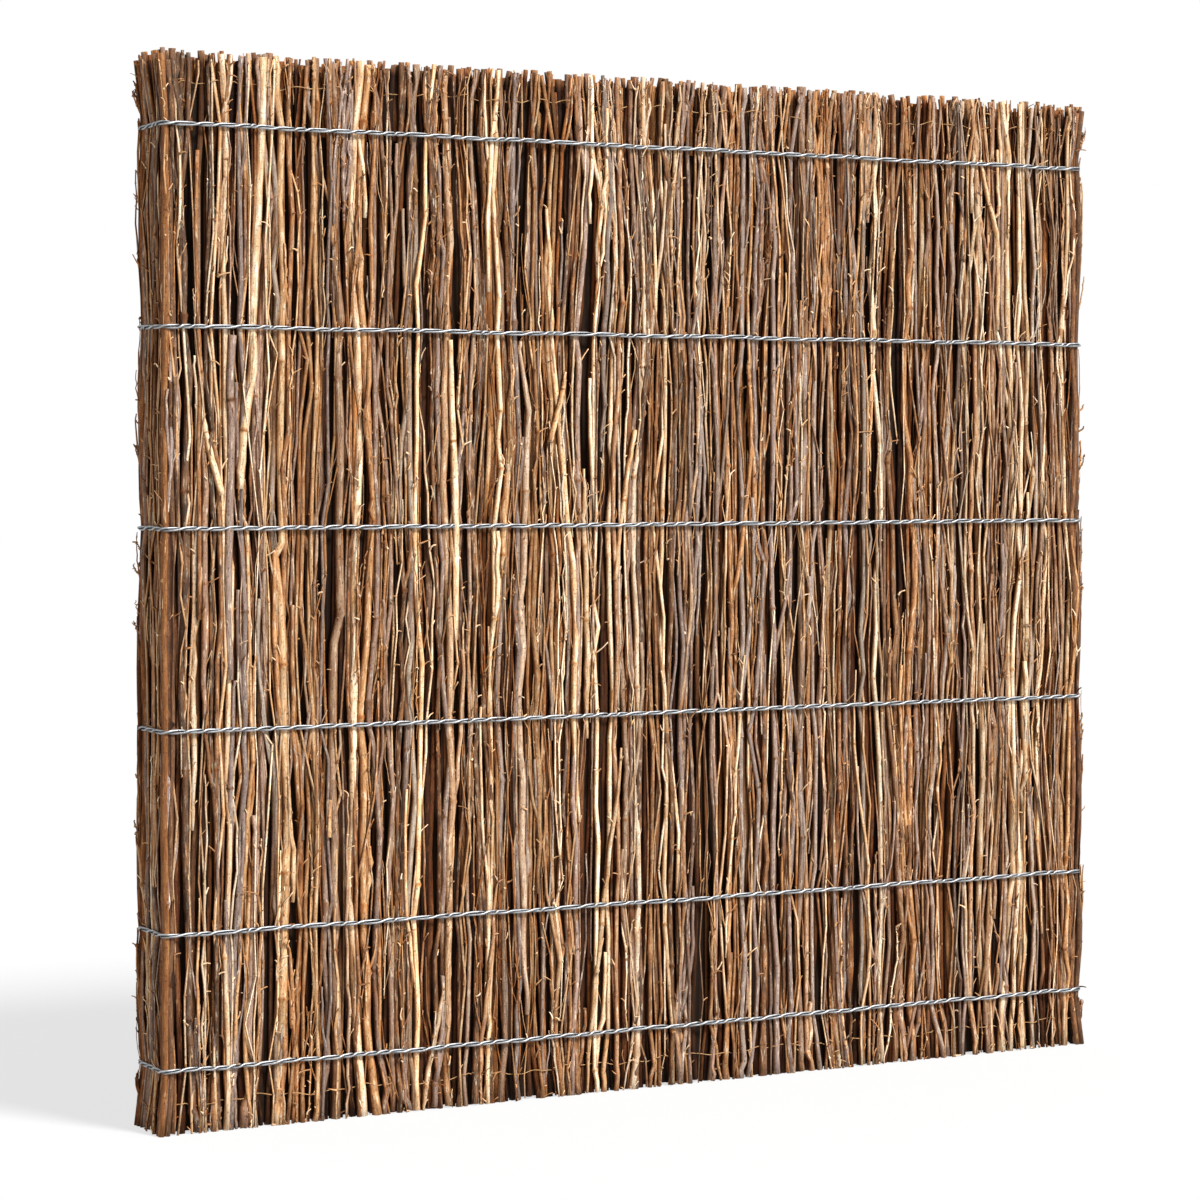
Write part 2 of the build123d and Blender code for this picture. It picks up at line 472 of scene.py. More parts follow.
def linear(hexColor):
    # sRGB hex to linear, channel by channel
    channels = [int(hexColor[i : i + 2], 16) / 255 for i in (1, 3, 5)]
    return [c / 12.92 if c <= 0.04045 else ((c + 0.055) / 1.055) ** 2.4 for c in channels] + [1]


def addNode(tree, kind, settings=None, links=None):
    # settings: a property, an input by name or number, or the stops of a color ramp;
    # links: input to (node, output). A Map Range takes 1 to 2 and gives 3 to 4.
    node = tree.nodes.new("ShaderNode" + kind)
    for key, value in (settings or {}).items():
        if key == "stops":
            while len(node.color_ramp.elements) < len(value):
                node.color_ramp.elements.new(0.5)
            for element, (position, color) in zip(node.color_ramp.elements, value):
                element.position = position
                element.color = linear(color)
        elif isinstance(key, str) and hasattr(node, key):
            setattr(node, key, value)
        else:
            node.inputs[key].default_value = value
    for key, (source, output) in (links or {}).items():
        tree.links.new(source.outputs[output], node.inputs[key])
    return node


def newMaterial(name):
    # an empty material and its node tree
    material = bpy.data.materials.new(name)
    material.use_nodes = True
    tree = material.node_tree
    tree.nodes.clear()
    return material, tree


def grainPattern(tree, grain, size, detail, roughness=0.55):
    # noise whose grains measure size, across by along in metres, in the grain map
    scale = (1 / size[0], 1 / size[1], 1)
    space = addNode(tree, "Mapping", {"Scale": scale}, {"Vector": (grain, "UV")})
    settings = {"Scale": 1.0, "Detail": detail, "Roughness": roughness}
    return addNode(tree, "TexNoise", settings, {"Vector": (space, "Vector")})


barkLook = {
    "palette": [
        (0.00, "#57402f"), (0.14, "#7c573a"), (0.28, "#996b45"), (0.42, "#ac7d51"),
        (0.56, "#bd9063"), (0.70, "#cda67a"), (0.86, "#ddc09b"), (1.00, "#eddbbf"),
    ],
    "weathered": "#8d7c75",
    "peeled": "#f4e6cc",
    # painted shade and knot stain as a multiplier on the colour: near black deep between the
    # sticks, white in the open
    "stainAndShade": [(0.00, "#1c0f06"), (0.30, "#77502c"), (0.65, "#d0ad88"), (1.00, "#ffffff")],
    "fibre": (0.0026, 0.030),  # across and along, real fibres drawn coarse enough to show
    "patch": (0.009, 0.045),
    "scuff": (0.0036, 0.024),
    "speck": (0.0026, 0.0045),
    "roughness": 0.72,
}


def barkMaterial():
    # dry brushwood bark: matte, streaked along the stick, rubbed or peeled pale in patches,
    # stained darker at the knots, with painted shade between the sticks and round their sides
    # and a painted light near their free tops
    material, tree = newMaterial("dryBrushwoodBark")
    tone = addNode(tree, "Attribute", {"attribute_name": "stickTone"})
    parts = addNode(tree, "SeparateColor", None, {"Color": (tone, "Color")})
    grain = addNode(tree, "UVMap", {"uv_map": "grain"})
    fibre = grainPattern(tree, grain, barkLook["fibre"], 3.0, 0.65)
    patch = grainPattern(tree, grain, barkLook["patch"], 4.0)
    scuff = grainPattern(tree, grain, barkLook["scuff"], 3.0, 0.6)
    speck = grainPattern(tree, grain, barkLook["speck"], 1.0)
    swing = addNode(tree, "MapRange", {1: 0.3, 2: 0.7, 3: -0.24, 4: 0.24}, {0: (patch, "Fac")})
    place = addNode(
        tree, "Math", {"operation": "ADD", "use_clamp": True},
        {0: (parts, "Red"), 1: (swing, "Result")},
    )
    palette = addNode(tree, "ValToRGB", {"stops": barkLook["palette"]}, {"Fac": (place, "Value")})
    age = addNode(tree, "MapRange", {1: 0.25, 2: 0.85, 3: 0.0, 4: 0.88}, {0: (parts, "Green")})
    weathered = addNode(
        tree, "Mix", {"data_type": "RGBA", 7: linear(barkLook["weathered"])},
        {"Factor": (age, "Result"), 6: (palette, "Color")},
    )
    peeling = addNode(tree, "MapRange", {1: 0.56, 2: 0.66, 3: 0.0, 4: 0.48}, {0: (scuff, "Fac")})
    peeled = addNode(
        tree, "Mix", {"data_type": "RGBA", 7: linear(barkLook["peeled"])},
        {"Factor": (peeling, "Result"), 6: (weathered, 2)},
    )
    streaks = addNode(tree, "MapRange", {1: 0.3, 2: 0.7, 3: 0.62, 4: 1.32}, {0: (fibre, "Fac")})
    ownShade = addNode(tree, "MapRange", {3: 0.60, 4: 1.40}, {0: (parts, "Blue")})
    spots = addNode(tree, "MapRange", {1: 0.59, 2: 0.69, 3: 1.0, 4: 0.40}, {0: (speck, "Fac")})
    shade = addNode(
        tree, "Math", {"operation": "MULTIPLY"}, {0: (streaks, "Result"), 1: (ownShade, "Result")}
    )
    shade = addNode(
        tree, "Math", {"operation": "MULTIPLY"}, {0: (shade, "Value"), 1: (spots, "Result")}
    )
    colored = addNode(
        tree, "VectorMath", {"operation": "SCALE"}, {0: (peeled, 2), "Scale": (shade, "Value")}
    )
    # painted shade: the colour is multiplied down towards near black by the fourth channel, with
    # the knot stains in it
    stainAndShade = addNode(tree, "ValToRGB", {"stops": barkLook["stainAndShade"]}, {"Fac": (tone, "Alpha")})
    shadedColor = addNode(
        tree, "VectorMath", {"operation": "MULTIPLY"}, {0: (colored, "Vector"), 1: (stainAndShade, "Color")}
    )
    height = addNode(tree, "Math", {"operation": "ADD"}, {0: (fibre, "Fac"), 1: (scuff, "Fac")})
    bump = addNode(
        tree, "Bump", {"Strength": 0.7, "Distance": 0.0008}, {"Height": (height, "Value")}
    )
    shader = addNode(
        tree, "BsdfPrincipled",
        {"Roughness": barkLook["roughness"], "Specular IOR Level": 0.18},
        {"Base Color": (shadedColor, "Vector"), "Normal": (bump, "Normal")},
    )
    addNode(tree, "OutputMaterial", None, {"Surface": (shader, "BSDF")})
    return material


cutLook = {
    "rings": [(0.0, "#755539"), (1.0, "#b8946a")],
    "ringScale": 160.0,  # growth rings about 2 mm apart
    "weathered": "#776a60",
    "roughness": 0.85,
}


def cutMaterial():
    # sawn end grain: paler than the bark, with growth rings round the pith
    material, tree = newMaterial("sawnEndGrain")
    grain = addNode(tree, "UVMap", {"uv_map": "grain"})
    rings = addNode(
        tree, "TexWave",
        {"wave_type": "RINGS", "rings_direction": "SPHERICAL", "Scale": cutLook["ringScale"],
         "Distortion": 2.5, "Detail": 2.0},
        {"Vector": (grain, "UV")},
    )
    tint = addNode(tree, "ValToRGB", {"stops": cutLook["rings"]}, {"Fac": (rings, "Fac")})
    tone = addNode(tree, "Attribute", {"attribute_name": "stickTone"})
    parts = addNode(tree, "SeparateColor", None, {"Color": (tone, "Color")})
    age = addNode(tree, "MapRange", {1: 0.2, 2: 0.9, 3: 0.0, 4: 0.85}, {0: (parts, "Green")})
    weathered = addNode(
        tree, "Mix", {"data_type": "RGBA", 7: linear(cutLook["weathered"])},
        {"Factor": (age, "Result"), 6: (tint, "Color")},
    )
    shade = addNode(tree, "MapRange", {3: 0.45, 4: 1.45}, {0: (parts, "Blue")})
    colored = addNode(
        tree, "VectorMath", {"operation": "SCALE"}, {0: (weathered, 2), "Scale": (shade, "Result")}
    )
    shader = addNode(
        tree, "BsdfPrincipled", {"Roughness": cutLook["roughness"], "Specular IOR Level": 0.25},
        {"Base Color": (colored, "Vector")},
    )
    addNode(tree, "OutputMaterial", None, {"Surface": (shader, "BSDF")})
    return material


coreLook = {
    # painted shade: the inside of the brush coloured near black
    "tint": [(0.3, "#120c08"), (0.7, "#2e2017")],
    "ridge": (0.009, 0.009, 0.4),  # as thick and nearly as long as a stick
    "roughness": 0.95,
}


def coreMaterial():
    # the tight inside of the mat, ridged like the sticks that it is made of, in near-black painted
    # shade
    material, tree = newMaterial("innerBrushInShadow")
    place = addNode(tree, "TexCoord")
    scale = [1 / size for size in coreLook["ridge"]]
    space = addNode(tree, "Mapping", {"Scale": scale}, {"Vector": (place, "Object")})
    ridges = addNode(tree, "TexNoise", {"Scale": 1.0, "Detail": 2.0}, {"Vector": (space, "Vector")})
    tint = addNode(tree, "ValToRGB", {"stops": coreLook["tint"]}, {"Fac": (ridges, "Fac")})
    bump = addNode(tree, "Bump", {"Strength": 1.0, "Distance": 0.006}, {"Height": (ridges, "Fac")})
    shader = addNode(
        tree, "BsdfPrincipled", {"Roughness": coreLook["roughness"], "Specular IOR Level": 0.1},
        {"Base Color": (tint, "Color"), "Normal": (bump, "Normal")},
    )
    addNode(tree, "OutputMaterial", None, {"Surface": (shader, "BSDF")})
    return material


zincLook = {
    "tint": [(0.3, "#77797c"), (0.7, "#bfc1c3")],
    # painted shade where the two strands touch
    "creviceShade": "#1b1b1c",
    "bloom": (0.004, 0.010),
    "metallic": 0.65,
}


def zincMaterial():
    # hot-dip galvanised steel wire under its dull zinc bloom: pale grey and half matte, with
    # brighter rubbed places, and painted shade, near black, where the two strands touch
    material, tree = newMaterial("galvanisedSteelWire")
    grain = addNode(tree, "UVMap", {"uv_map": "grain"})
    bloom = grainPattern(tree, grain, zincLook["bloom"], 3.0)
    tint = addNode(tree, "ValToRGB", {"stops": zincLook["tint"]}, {"Fac": (bloom, "Fac")})
    tone = addNode(tree, "Attribute", {"attribute_name": "stickTone"})
    # painted shade: mixes towards the near-black colour on the side of each strand that faces the
    # other
    creviceShade = addNode(tree, "MapRange", {1: 0.10, 2: 0.70, 3: 1, 4: 0}, {0: (tone, "Alpha")})
    shadedColor = addNode(
        tree, "Mix", {"data_type": "RGBA", 7: linear(zincLook["creviceShade"])},
        {"Factor": (creviceShade, "Result"), 6: (tint, "Color")},
    )
    rough = addNode(tree, "MapRange", {1: 0.3, 2: 0.7, 3: 0.34, 4: 0.52}, {0: (bloom, "Fac")})
    bump = addNode(tree, "Bump", {"Strength": 0.25, "Distance": 0.0003}, {"Height": (bloom, "Fac")})
    shader = addNode(
        tree, "BsdfPrincipled", {"Metallic": zincLook["metallic"]},
        {"Base Color": (shadedColor, 2), "Roughness": (rough, "Result"), "Normal": (bump, "Normal")},
    )
    addNode(tree, "OutputMaterial", None, {"Surface": (shader, "BSDF")})
    return material


stitchLook = {
    "tint": [(0.3, "#8a6038"), (0.7, "#c79a63")],
    "rust": (0.003, 0.010),
    "roughness": 0.6,
}


def stitchMaterial():
    # annealed steel stitching wire, gone tan with surface rust
    material, tree = newMaterial("rustedStitchWire")
    grain = addNode(tree, "UVMap", {"uv_map": "grain"})
    rust = grainPattern(tree, grain, stitchLook["rust"], 3.0)
    tint = addNode(tree, "ValToRGB", {"stops": stitchLook["tint"]}, {"Fac": (rust, "Fac")})
    shader = addNode(
        tree, "BsdfPrincipled", {"Roughness": stitchLook["roughness"]},
        {"Base Color": (tint, "Color")},
    )
    addNode(tree, "OutputMaterial", None, {"Surface": (shader, "BSDF")})
    return material


bark, cut, core = barkMaterial(), cutMaterial(), coreMaterial()
zinc, stitch = zincMaterial(), stitchMaterial()
print("materials ready")

# Sticks

groups = []
shadeDepth = 0.0105


def addGroup(face, paths, radii, tone, mostSides=9, stain=1.0, inOpen=False):
    # keeps the sticks in world coordinates, sorted by how many sides their thickness needs;
    # painted shade falls from 1 at the face to nearly 0 at shadeDepth behind it, times the knot
    # stain, and sticks that stand in the open have the same painted shade all round
    world = toWorld(face, paths) if face in faces else paths
    sunk = np.full(radii.shape, 0.005)
    if face in faces:
        sunk = faces[face]["outSplay"] * splayAt(paths[:, :, 2]) - paths[:, :, 1] - radii
    shade = stain * (0.04 + 0.96 * np.clip(1 - (sunk - 0.0015) / shadeDepth, 0, 1) ** 1.2)
    if inOpen or face not in faces:
        shade = shade[:, :, None]
    reference = list(faces[face]["out"]) + [0] if face in faces else (0, -1, 0)
    middle = world[:, :, 0].mean(axis=1)
    owner = ((middle + halfWidth) / slotWidth).astype(int).clip(0, len(handfulNames) - 1)
    oval = rng.uniform(0, 0.10, len(tone))
    thick = radii.mean(axis=1)
    limits = (0, 0.0014, 0.0026, 0.0042, 0.0066, 1)  # radii between which the sides change
    for wanted, low, high in zip((3, 5, 6, 7, 9), limits, limits[1:]):
        sides = min(wanted, mostSides)
        pick = (thick >= low) & (thick < high)
        if pick.any():
            groups.append({
                "paths": world[pick], "radii": radii[pick], "sides": sides,
                "reference": reference, "tone": tone[pick], "owner": owner[pick],
                "oval": oval[pick], "shade": shade[pick],
            })


twigs = {
    "perStick": 1.7, "length": (0.03, 0.16), "spread": (0.18, 0.46), "thickness": (0.25, 0.55),
    "depth": (-0.002, 0.006), "tip": 0.35, "rings": 6, "atTop": 0.0,
}
limbs = {
    "perStick": 1.1, "length": (0.09, 0.40), "spread": (0.12, 0.30), "thickness": (0.50, 0.80),
    "depth": (0.001, 0.008), "tip": 0.75, "rings": 8, "atTop": 4.5,
}
spurs = {
    "perStick": 12, "length": 0.0056, "longest": 0.018, "radius": (0.0009, 0.0018),
    "furthest": 0.0124,  # how far a spur may stand out of its face
}


def branchFrom(sticks, tone, recipe):
    # a branch leaves its parent at a knot, swings out and turns back towards upright
    paths, radii, knotRings = sticks["paths"], sticks["radii"], sticks["knotRings"]
    high = paths[:, knotRings, 2] > panelHeight - 0.24
    chance = recipe["perStick"] / len(knotRings) * (1 + recipe["atTop"] * high)
    stick, knot = np.argwhere(rng.random(high.shape) < chance).T
    ring = knotRings[knot]
    start = paths[stick, ring]
    parent = radii[stick, ring]
    total = len(stick)
    up = np.where(rng.random(total) < 0.88, 1, -1)
    length = rng.uniform(*recipe["length"], total)
    room = np.where(up > 0, panelHeight - 0.002 - start[:, 2], start[:, 2] - 0.003)
    length = np.minimum(length, np.maximum(room, 0.002))
    turn = rng.choice([-1, 1], total) * rng.uniform(*recipe["spread"], total)
    share = np.linspace(0, 1, recipe["rings"])[None, :]
    swing = length[:, None] * turn[:, None] * (share - 0.62 * share ** 2)
    swing += rng.normal(0, 0.0011, (total, recipe["rings"])) * (share > 0)
    depth = rng.uniform(*recipe["depth"], (total, 1)) * np.sin(np.pi * share * 0.7)
    z = start[:, 2:3] + up[:, None] * length[:, None] * share
    z = withBandRings(z.clip(0.003, panelHeight + 0.004))
    place = faces[sticks["face"]]
    edge = place["half"] + 0.002 + place["edgeSplay"] * splayAt(z)
    s = np.clip(start[:, 0:1] + swing, -edge, edge)
    thickness = parent * rng.uniform(*recipe["thickness"], total)
    radius = np.maximum(thickness[:, None] * (1 - (1 - recipe["tip"]) * share), 0.0007)
    radius[:, 1:-1] *= 1 + 0.12 * rng.normal(0, 1, (total, recipe["rings"] - 2))
    out = start[:, 1:2] + depth + parent[:, None] * 0.4 * share
    out = np.minimum(out, place["outSplay"] * splayAt(z) + mostBow * bowAt(z) - radius)
    newTone = tone[stick].copy()
    newTone[:, 0] = np.clip(newTone[:, 0] + rng.normal(0.04, 0.10, total), 0, 1)
    addGroup(sticks["face"], np.stack([s, out, z], axis=2), radius, newTone)


def spursFrom(sticks, tone, recipe):
    # short broken stubs of side twigs, four rings each: a straight run with a hook that grows
    # towards the tip
    paths, radii = sticks["paths"], sticks["radii"]
    chance = recipe["perStick"] / radii.shape[1] * (paths[:, :, 2] < panelHeight - 0.012)
    stick, ring = np.argwhere(rng.random(radii.shape) < chance).T
    start = paths[stick, ring]
    parent = radii[stick, ring]
    total = len(stick)
    around = rng.uniform(-1.4, 1.4, total)
    rise = rng.uniform(0.2, 3.0, total)
    direction = unit(np.stack([np.sin(around), np.cos(around), rise], axis=1))
    length = rng.exponential(recipe["length"], total) + 0.002
    length = np.minimum(length, recipe["longest"]) + parent
    share = np.array([0, 0.4, 0.72, 1.0])[None, :, None]
    hook = rng.normal(0, 0.28, (total, 1, 3)) * np.array([0, 0.05, 0.4, 1.0])[None, :, None]
    path = start[:, None, :] + (direction[:, None, :] * share + hook) * length[:, None, None]
    splayed = faces[sticks["face"]]["outSplay"] * splayAt(path[:, :, 2])
    path[:, :, 1] = np.minimum(path[:, :, 1], splayed + recipe["furthest"])
    path[:, :, 2] = path[:, :, 2].clip(0.003, panelHeight + 0.002)
    radius = rng.uniform(*recipe["radius"], (total, 1)) * np.array([1.7, 1.1, 0.8, 0.7])
    newTone = tone[stick].copy()
    newTone[:, 0] = (newTone[:, 0] + rng.normal(0.0, 0.25, total)).clip(0.20, 0.85)
    newTone[:, 1] *= 0.3
    newTone[:, 2] = rng.uniform(0.4, 1.0, total)
    addGroup(sticks["face"], path, radius, newTone, inOpen=sticks["inOpen"])


def layOut(sticks, tone):
    # the sticks of one layer themselves, stained darker at their knots
    addGroup(
        sticks["face"], sticks["paths"], sticks["radii"], tone, sticks["mostSides"], sticks["stain"]
    )


for face in faces:
    outer = sticksOn(face, outerSticks)
    outerTone = tonesFor(len(outer["radii"]), 0.0, 1.0, (0.7, 0.9))
    layOut(outer, outerTone)
    branchFrom(outer, outerTone, twigs)
    branchFrom(outer, outerTone, limbs)
    spursFrom(outer, outerTone, spurs)
    middle = sticksOn(face, middleSticks)
    layOut(middle, tonesFor(len(middle["radii"]), 0.05, 0.9, (0.8, 1.0)))
    gap = sticksOn(face, gapSticks)
    gapTone = tonesFor(len(gap["radii"]), 0.15, 0.95)
    layOut(gap, gapTone)
    spursFrom(gap, gapTone, spurs | {"perStick": 4})
    for recipe in (thinSticks, crossSticks):
        light = sticksOn(face, recipe)
        lightTone = tonesFor(len(light["radii"]), 0.25, 1.0, (0.8, 2.4))
        layOut(light, lightTone)
        branchFrom(light, lightTone, twigs)
        spursFrom(light, lightTone, spurs)

# Single sticks that stand out in the photograph. The places are its pixels, from foot to head
# or from head to foot; sizes are diameters in metres and out is in front of the face.
frameSize = 1200
viewFit = {
    "position": (-2.873, -5.232, 1.1135),
    "heading": 28.08,  # degrees from +Y towards +X, level
    "focal": 3309.2,  # in pixels of the 1200 pixel frame
    "horizon": 464.3,
    "middle": 600,
}
loneSticks = [
    # broken stick with a clean cut, leaning over its neighbours
    {"through": ((200, 398), (206, 431), (213, 460), (223, 495)),
     "out": (0.001, 0.005, 0.009, 0.013), "size": (0.0060, 0.0110, 0.0120, 0.0128),
     "tone": (0.88, 0.05, 0.62), "node": 0.35},
    # thick pale stick that comes down past the second band and ends ragged
    {"through": ((264, 57), (263, 131), (258, 230), (252, 328), (255, 366), (249, 398), (245, 431),
                 (242, 466), (241, 489)),
     "out": (0.002, -0.002, 0.003, -0.002, 0.003, 0.006, 0.007, 0.008, 0.009),
     "size": (0.0140, 0.0145, 0.0150, 0.0160, 0.0170, 0.0165, 0.0155, 0.0148, 0.0130),
     "tone": (0.84, 0.32, 0.62), "node": 0.75},
    {"through": ((241, 476), (239, 490), (239, 501)), "out": (0.008, 0.010, 0.010),
     "size": (0.0028, 0.0026, 0.0018), "tone": (0.60, 0.0, 0.60), "node": 0.3},
    {"through": ((244, 470), (244, 496), (246, 521)), "out": (0.007, 0.009, 0.008),
     "size": (0.0030, 0.0026, 0.0016), "tone": (0.55, 0.0, 0.60), "node": 0.3},
    # slim red-brown stick
    {"through": ((198, 150), (196, 240), (199, 330), (201, 372), (200, 410), (199, 455),
                 (200, 620)),
     "out": (0.004,) * 7, "size": (0.0075,) * 7, "tone": (0.30, 0.05, 0.60), "node": 0.5},
    # thick grey-brown stick beside the pale one
    {"through": ((234, 335), (231, 385), (233, 420), (231, 500), (229, 590), (231, 680)),
     "out": (0.004,) * 6, "size": (0.0140, 0.0148, 0.0150, 0.0152, 0.0150, 0.0140),
     "tone": (0.45, 0.80, 0.50), "node": 0.28},
    # short leaning piece with its foot cut through
    {"through": ((566, 372), (564, 391), (558, 415), (551, 442)),
     "out": (0.004, 0.008, 0.010, 0.011), "size": (0.0045, 0.0100, 0.0112, 0.0112),
     "tone": (0.66, 0.25, 0.60), "node": 0.3},
    # fork: pale left arm and its stem, then the grey right arm
    {"through": ((451, 340), (452, 385), (454, 432), (456, 475), (457, 540), (456, 640)),
     "out": (0.003, 0.006, 0.008, 0.008, 0.005, 0.003),
     "size": (0.0095, 0.0110, 0.0125, 0.0150, 0.0130, 0.0120), "tone": (0.86, 0.10, 0.62),
     "node": 0.44},
    {"through": ((466, 385), (463, 430), (460, 458), (457, 476)),
     "out": (0.003, 0.005, 0.006, 0.006), "size": (0.0080, 0.0090, 0.0095, 0.0090),
     "tone": (0.45, 0.85, 0.55), "node": 0.2},
    # wide V near the far end, with its stem
    {"through": ((981, 160), (985, 180), (989, 200), (993, 214), (997, 232), (999, 250),
                 (998, 330)),
     "out": (-0.001, 0.004, 0.008, 0.010, 0.009, 0.007, 0.003),
     "size": (0.0080, 0.0085, 0.0090, 0.0105, 0.0125, 0.0120, 0.0100), "tone": (0.74, 0.10, 0.55),
     "node": 0.4},
    {"through": ((998, 150), (998, 180), (1000, 203), (999, 214), (995, 218)),
     "out": (-0.001, 0.005, 0.009, 0.010, 0.009), "size": (0.0065, 0.0070, 0.0075, 0.0075, 0.0070),
     "tone": (0.80, 0.10, 0.60), "node": 0.6},
    # long leaning stick that crosses three neighbours
    {"through": ((636, 430), (628, 475), (621, 525), (616, 580)), "out": (0.004, 0.008, 0.0, 0.006),
     "size": (0.0100, 0.0100, 0.0095, 0.0090), "tone": (0.66, 0.20, 0.55), "node": 0.5},
    # stub of a sawn branch low on the near end
    {"through": ((331, 800), (330, 822), (330, 838)), "out": (0.004, 0.007, 0.009),
     "size": (0.0070, 0.0085, 0.0085), "tone": (0.70, 0.15, 0.60), "node": 0.4},
]


def frontPlace(pixels, out):
    # the ray of each pixel, followed to the plane that stands out in front of the front face
    heading = math.radians(viewFit["heading"])
    across = (pixels[:, 0] - viewFit["middle"]) / viewFit["focal"]
    down = (pixels[:, 1] - viewFit["horizon"]) / viewFit["focal"]
    rayX = math.sin(heading) + across * math.cos(heading)
    rayY = math.cos(heading) - across * math.sin(heading)
    x, y, z = viewFit["position"]
    reach = (-halfDepth - out - y) / rayY
    return x + reach * rayX, z - reach * down


def loneStick(look, rings=22):
    # straight runs between the given places, rounded by averaging each point with its neighbours
    given = np.linspace(0, 1, len(look["through"]))
    nodeRings = look["node"] + np.array([-0.012, 0, 0.012])
    share = np.sort(np.append(np.linspace(0, 1, rings), nodeRings))
    pixels = np.array(look["through"], float)
    raised = np.array(look["out"])
    x, z = frontPlace(pixels, raised)
    track = np.stack([np.interp(share, given, values) for values in (x, raised, z)], axis=1)
    size = np.interp(share, given, look["size"])
    smooth = track.copy()
    smooth[1:-1] = (track[:-2] + 2 * track[1:-1] + track[2:]) / 4
    smooth[1:-1, :2] += rng.normal(0, 0.00035, (len(share) - 2, 2))
    radii = size / 2 * (1 + 0.03 * rng.normal(0, 1, len(share)))
    smooth[:, 1] -= radii * 0.8
    ring = np.abs(share - look["node"]) < 0.006
    radii = radii * np.where(ring, 1.10, 1)
    stain = np.where(ring, 0.45, 1.0)
    tone = np.array([list(look["tone"]) + [rng.random(), rng.random()]])
    addGroup("front", smooth[None], radii[None], tone, 9, stain[None])


for look in loneSticks:
    loneStick(look)

# Wiry twigs that stand out past the two ends, short ones and long ones that run up the edge
edgeTwigs = {
    "reach": (0.005, 0.014), "short": (0.010, 0.026), "long": (0.06, 0.20), "longShare": 0.6,
    "radius": (0.0011, 0.0018), "perBay": 6, "rings": 9,
}


def edgeTwigsAt(face, side):
    # each twig leaves the corner and swings out past the end: reach * (1 - (1 - share)^2)
    spans = list(zip([0.02] + bandHeights, bandHeights + [panelHeight - 0.03]))
    count, rings = edgeTwigs["perBay"], edgeTwigs["rings"]
    low = np.repeat([span[0] + 0.02 for span in spans], count)
    high = np.repeat([span[1] - 0.03 for span in spans], count)
    total = len(low)
    long = rng.random(total) < edgeTwigs["longShare"]
    longRise = rng.uniform(*edgeTwigs["long"], total)
    shortRise = rng.uniform(*edgeTwigs["short"], total)
    rise = np.where(long, longRise, shortRise)
    rise = np.minimum(rise, high - low)[:, None]
    foot = (high - (high - low) * rng.beta(0.8, 1.3, total))[:, None]
    foot = np.minimum(foot, high[:, None] - 0.7 * rise)
    share = np.linspace(0, 1, rings)[None, :]
    reach = rng.uniform(*edgeTwigs["reach"], (total, 1)) * np.where(long, 0.7, 1.0)[:, None]
    z = foot + rise * share
    edge = faces[face]["half"] - 0.002 + 2.3 * splayAt(z) + 0.005 * bowAt(z)
    s = side * (edge + reach * (1 - (1 - share) ** 2))
    s += rng.normal(0, 0.0007, (total, rings)) * (share > 0)
    out = -0.004 + 0.003 * rng.normal(0, 1, (total, 1)) * share + 0 * s
    radius = rng.uniform(*edgeTwigs["radius"], (total, 1)) * (1.3 - 0.6 * share)
    tone = tonesFor(total, 0.20, 0.60, (0.8, 3.0))
    path = np.stack([s, out, z], axis=2)
    addGroup(face, path, radius, tone, inOpen=True)
    sticks = {"face": face, "paths": path, "radii": radius, "inOpen": True}
    spursFrom(sticks, tone, spurs | {"perStick": 1.5, "length": 0.003, "longest": 0.006})


edgeTwigsAt("back", 1)
edgeTwigsAt("front", 1)

print("sticks laid out:", sum(len(group["tone"]) for group in groups))


cornerLook = {
    "radius": 0.0056,
    "insets": ((0, 0), (0.0105, 0.0008), (0.0008, 0.0105), (0.0100, 0.0100)),
}


def cornerSticks():
    # the stick at each corner that the bands bend round, and three behind it that close the corner
    insets = np.array(cornerLook["insets"])
    corners = np.array([(-1, -1), (1, -1), (-1, 1), (1, 1)])
    inset = np.tile(insets, (4, 1))[:, :, None]
    corner = np.repeat(corners, 4, axis=0)[:, :, None]
    count = len(inset)
    heights = np.linspace(0, 1, 40)[None, :] * (panelHeight - rng.uniform(0.0, 0.016, (count, 1)))
    radii = cornerLook["radius"] * (1 + 0.09 * waves(heights, 1.0))
    reach = 0.005 * bowAt(heights) - radii
    shift = [waves(heights, 0.0022) * bowAt(heights) for axis in range(2)]
    x = corner[:, 0] * (halfWidth - inset[:, 0] + 2.3 * splayAt(heights) + reach) + shift[0]
    y = corner[:, 1] * (halfDepth - inset[:, 1] + 1.2 * splayAt(heights) + reach) + shift[1]
    tone = tonesFor(count, 0.1, 0.7, (1.5, 0.9))
    addGroup("none", np.stack([x, y, heights], axis=2), radii, tone)


stubLook = {
    "pitch": 0.0120, "rows": 7, "inset": 0.019, "radius": (0.0040, 0.0066), "length": 0.13,
}


def stubEnds():
    # cut ends that fill the top between the faces: short sticks on a jittered grid
    inset = stubLook["inset"]
    xs = np.arange(-halfWidth + inset, halfWidth - inset + 0.002, stubLook["pitch"])
    ys = np.linspace(-halfDepth + inset, halfDepth - inset, stubLook["rows"])
    x, y = [a.ravel() for a in np.meshgrid(xs, ys)]
    count = len(x)
    x = x + rng.normal(0, 0.002, count)
    y = y + rng.normal(0, 0.002, count)
    top = panelHeight - 0.004 - rng.beta(1.3, 1.8, count) * 0.030
    foot = np.full(count, panelHeight - stubLook["length"])
    heights = np.stack([foot, top - 0.02, top], axis=1)
    lean = rng.normal(0, 0.02, (count, 2))
    rise = heights - heights[:, :1]
    leanX, leanY = lean[:, :1] * rise, lean[:, 1:] * rise
    path = np.stack([x[:, None] + leanX, y[:, None] + leanY, heights], axis=2)
    radii = rng.uniform(*stubLook["radius"], (count, 1)) * np.ones((1, 3))
    addGroup("none", path, radii, tonesFor(count, 0.0, 0.85))


cornerSticks()
stubEnds()


